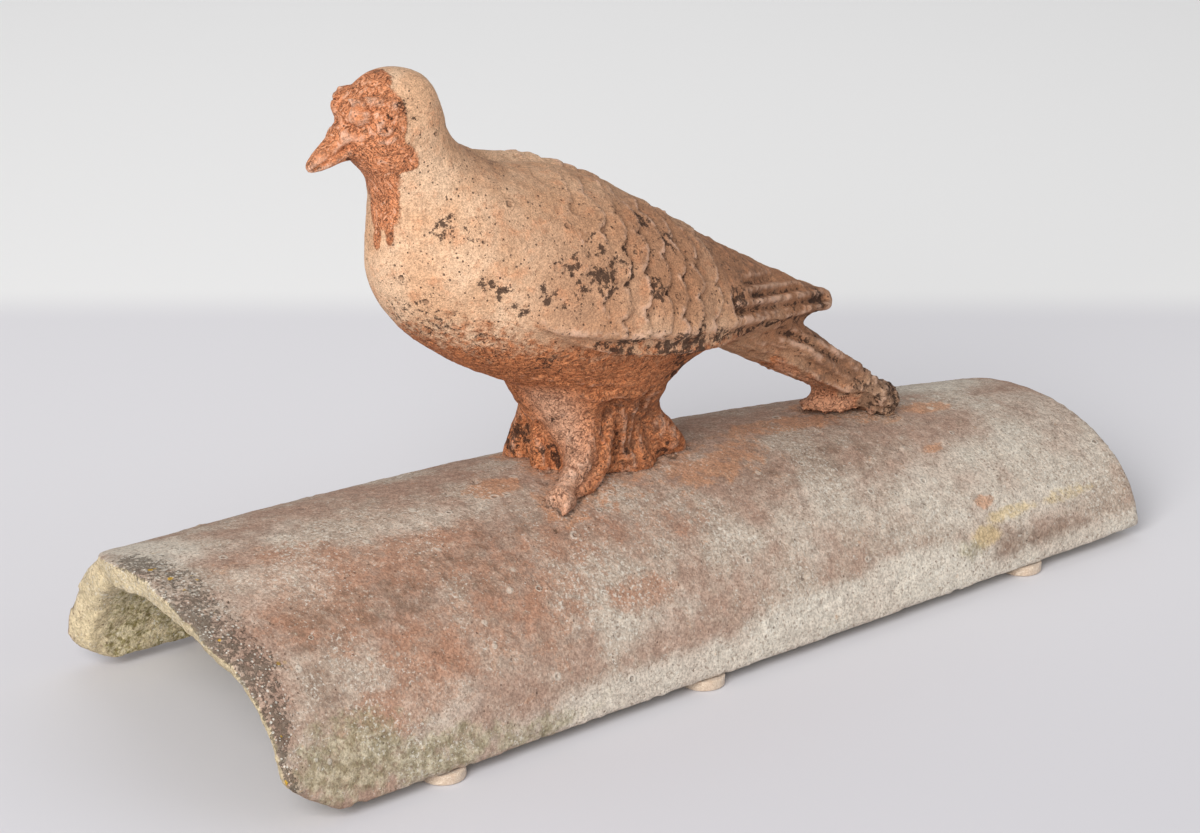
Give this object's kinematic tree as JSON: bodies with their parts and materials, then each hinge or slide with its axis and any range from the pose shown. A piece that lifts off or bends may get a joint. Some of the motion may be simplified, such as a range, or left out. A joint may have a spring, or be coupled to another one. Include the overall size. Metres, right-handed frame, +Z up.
{
  "type": "decorative ridge tile with pigeon",
  "caption": "Hand-made half-round terracotta ridge tile that carries a modelled pigeon, standing on small felt pads.",
  "frame": {"origin": "middle of the part's footprint, on the surface that the felt pads stand on", "axes": "+X along the ridge towards the bird's tail, +Z up; the bird faces -X"},
  "size_m": [0.4718, 0.1848, 0.2551],
  "materials": {
    "weathered_tile_clay": "matt, weathered, with lime bloom, lichen and moss",
    "pigeon_terracotta": "matt, pitted, with dark dirt and worn orange patches",
    "felt": "matt felt"
  },
  "bodies": {
    "root": {"ridge_tile": "weathered_tile_clay", "pigeon": "pigeon_terracotta", "felt_pad_left_1": "felt", "felt_pad_right_1": "felt", "felt_pad_left_2": "felt", "felt_pad_right_2": "felt", "felt_pad_left_3": "felt", "felt_pad_right_3": "felt"}
  },
  "joints": []
}
